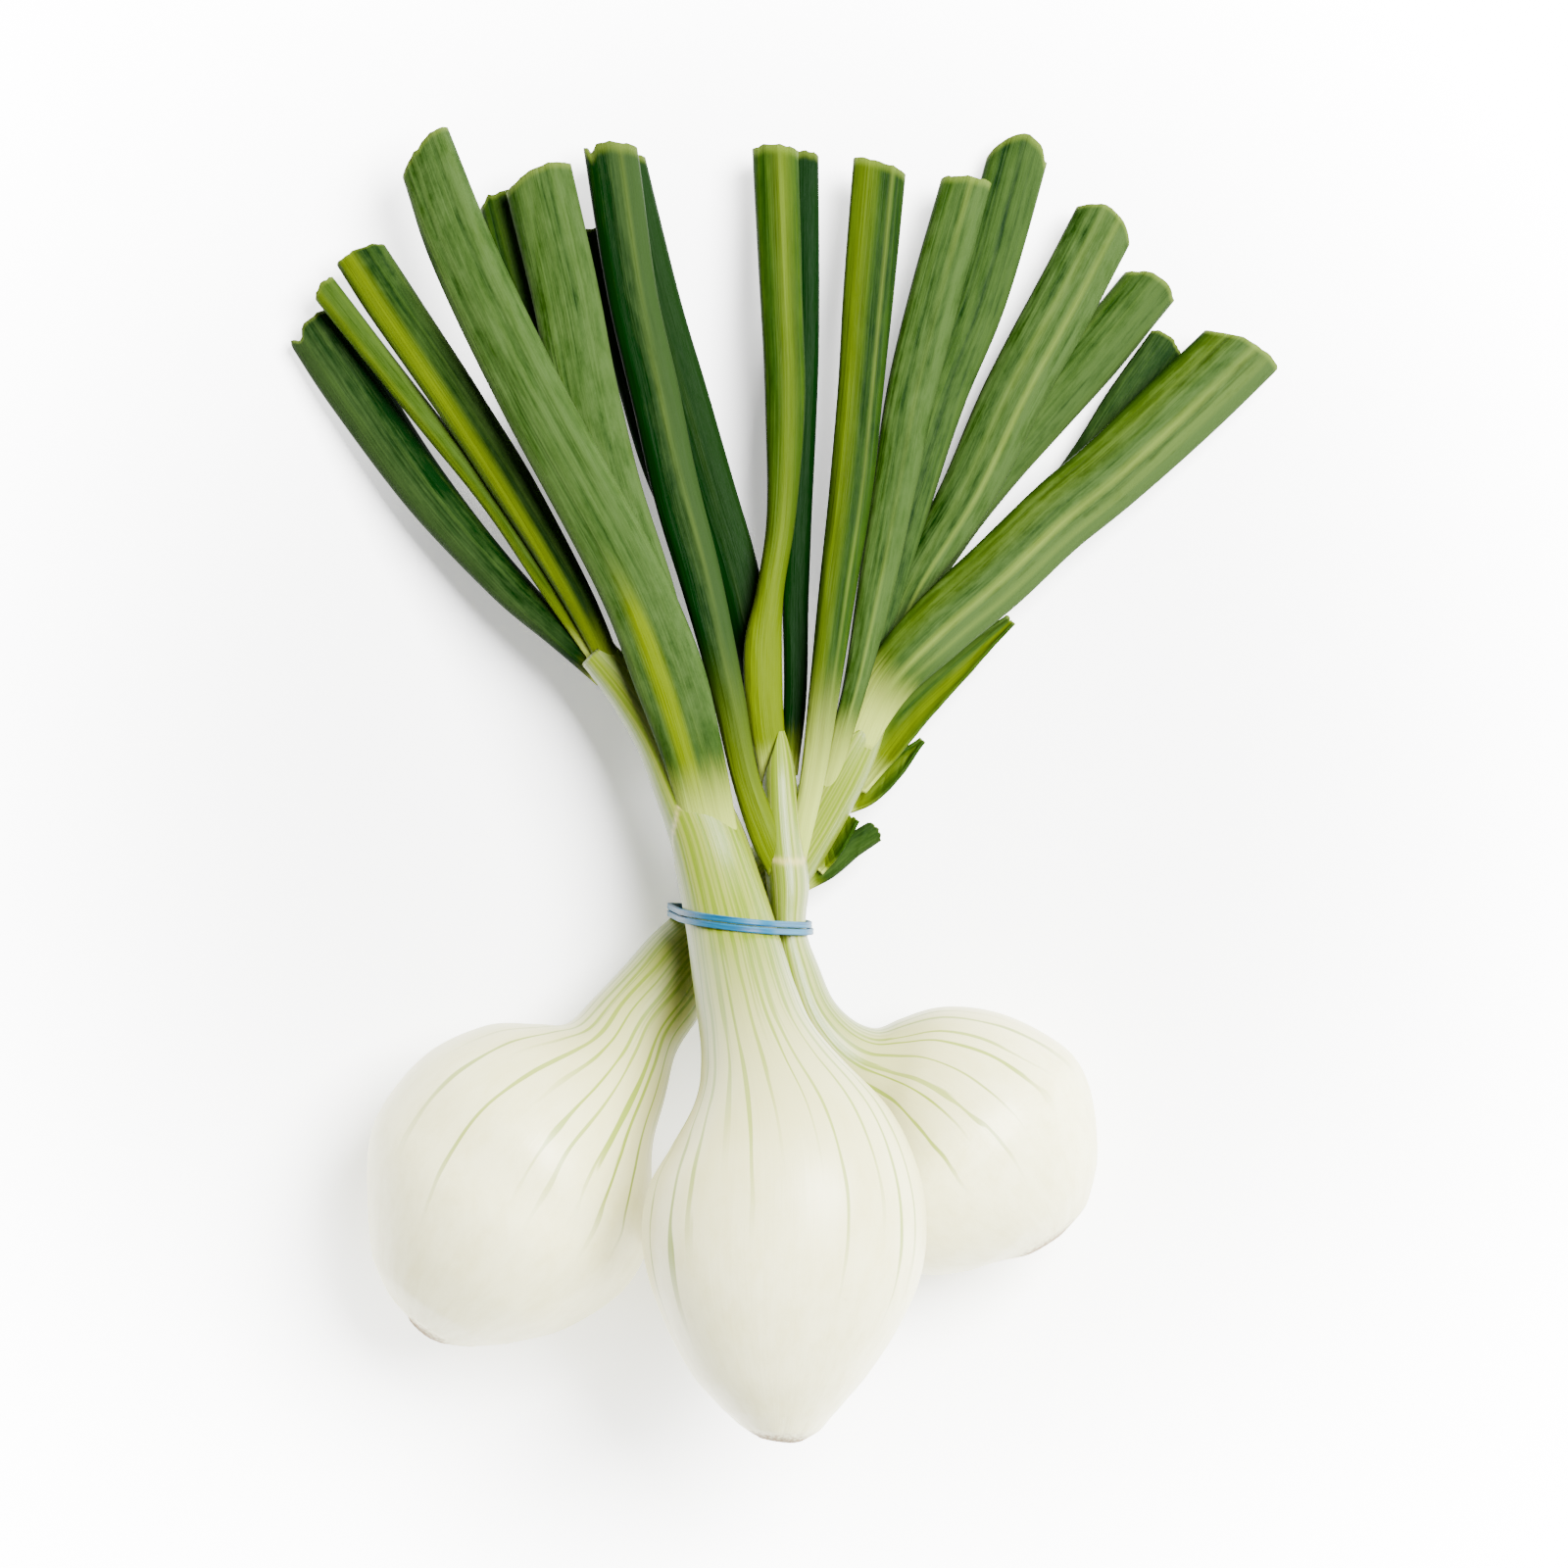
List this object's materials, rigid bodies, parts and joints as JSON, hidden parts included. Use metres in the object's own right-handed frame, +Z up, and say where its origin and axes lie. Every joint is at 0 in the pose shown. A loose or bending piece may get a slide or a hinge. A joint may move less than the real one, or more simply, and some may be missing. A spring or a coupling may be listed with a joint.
{
  "type": "spring onion bunch",
  "caption": "Bunch of fresh spring onions with round white bulbs and cut, fanned-out hollow green leaves, lying flat and tied at the necks with a rubber band.",
  "frame": {"origin": "middle of the bunch's outline seen from above, on the surface that it lies on", "axes": "+Z up from the surface, +Y along the bunch from the bulbs to the cut leaf tips, +X towards the smaller of the two lower bulbs"},
  "size_m": [0.2052, 0.2662, 0.0881],
  "materials": {
    "onion_skin": "smooth, faintly waxy white onion skin with yellow-green veins",
    "onion_leaf": "green leaf with a blue-grey waxy bloom and fine lengthwise ribs",
    "band_rubber": "light blue stretched rubber"
  },
  "bodies": {
    "root": {"bulb_front": "onion_skin", "leaf_front_top": "onion_leaf", "leaf_front_middle": "onion_leaf", "leaf_front_under": "onion_leaf", "leaf_front_outer": "onion_leaf", "leaf_front_slim": "onion_leaf", "leaf_front_bright": "onion_leaf", "bulb_right": "onion_skin", "leaf_right_long": "onion_leaf", "leaf_right_shaded": "onion_leaf", "leaf_right_hidden": "onion_leaf", "leaf_right_centre": "onion_leaf", "leaf_right_dark": "onion_leaf", "leaf_right_upright": "onion_leaf", "bulb_left": "onion_skin", "leaf_left_inner": "onion_leaf", "leaf_left_tall": "onion_leaf", "leaf_left_striped": "onion_leaf", "leaf_left_low": "onion_leaf", "leaf_left_tucked": "onion_leaf", "leaf_left_broad": "onion_leaf", "leaf_left_split": "onion_leaf", "leaf_left_shred": "onion_leaf", "leaf_left_stump": "onion_leaf", "leaf_left_stub": "onion_leaf", "rubber_band": "band_rubber"}
  },
  "joints": []
}
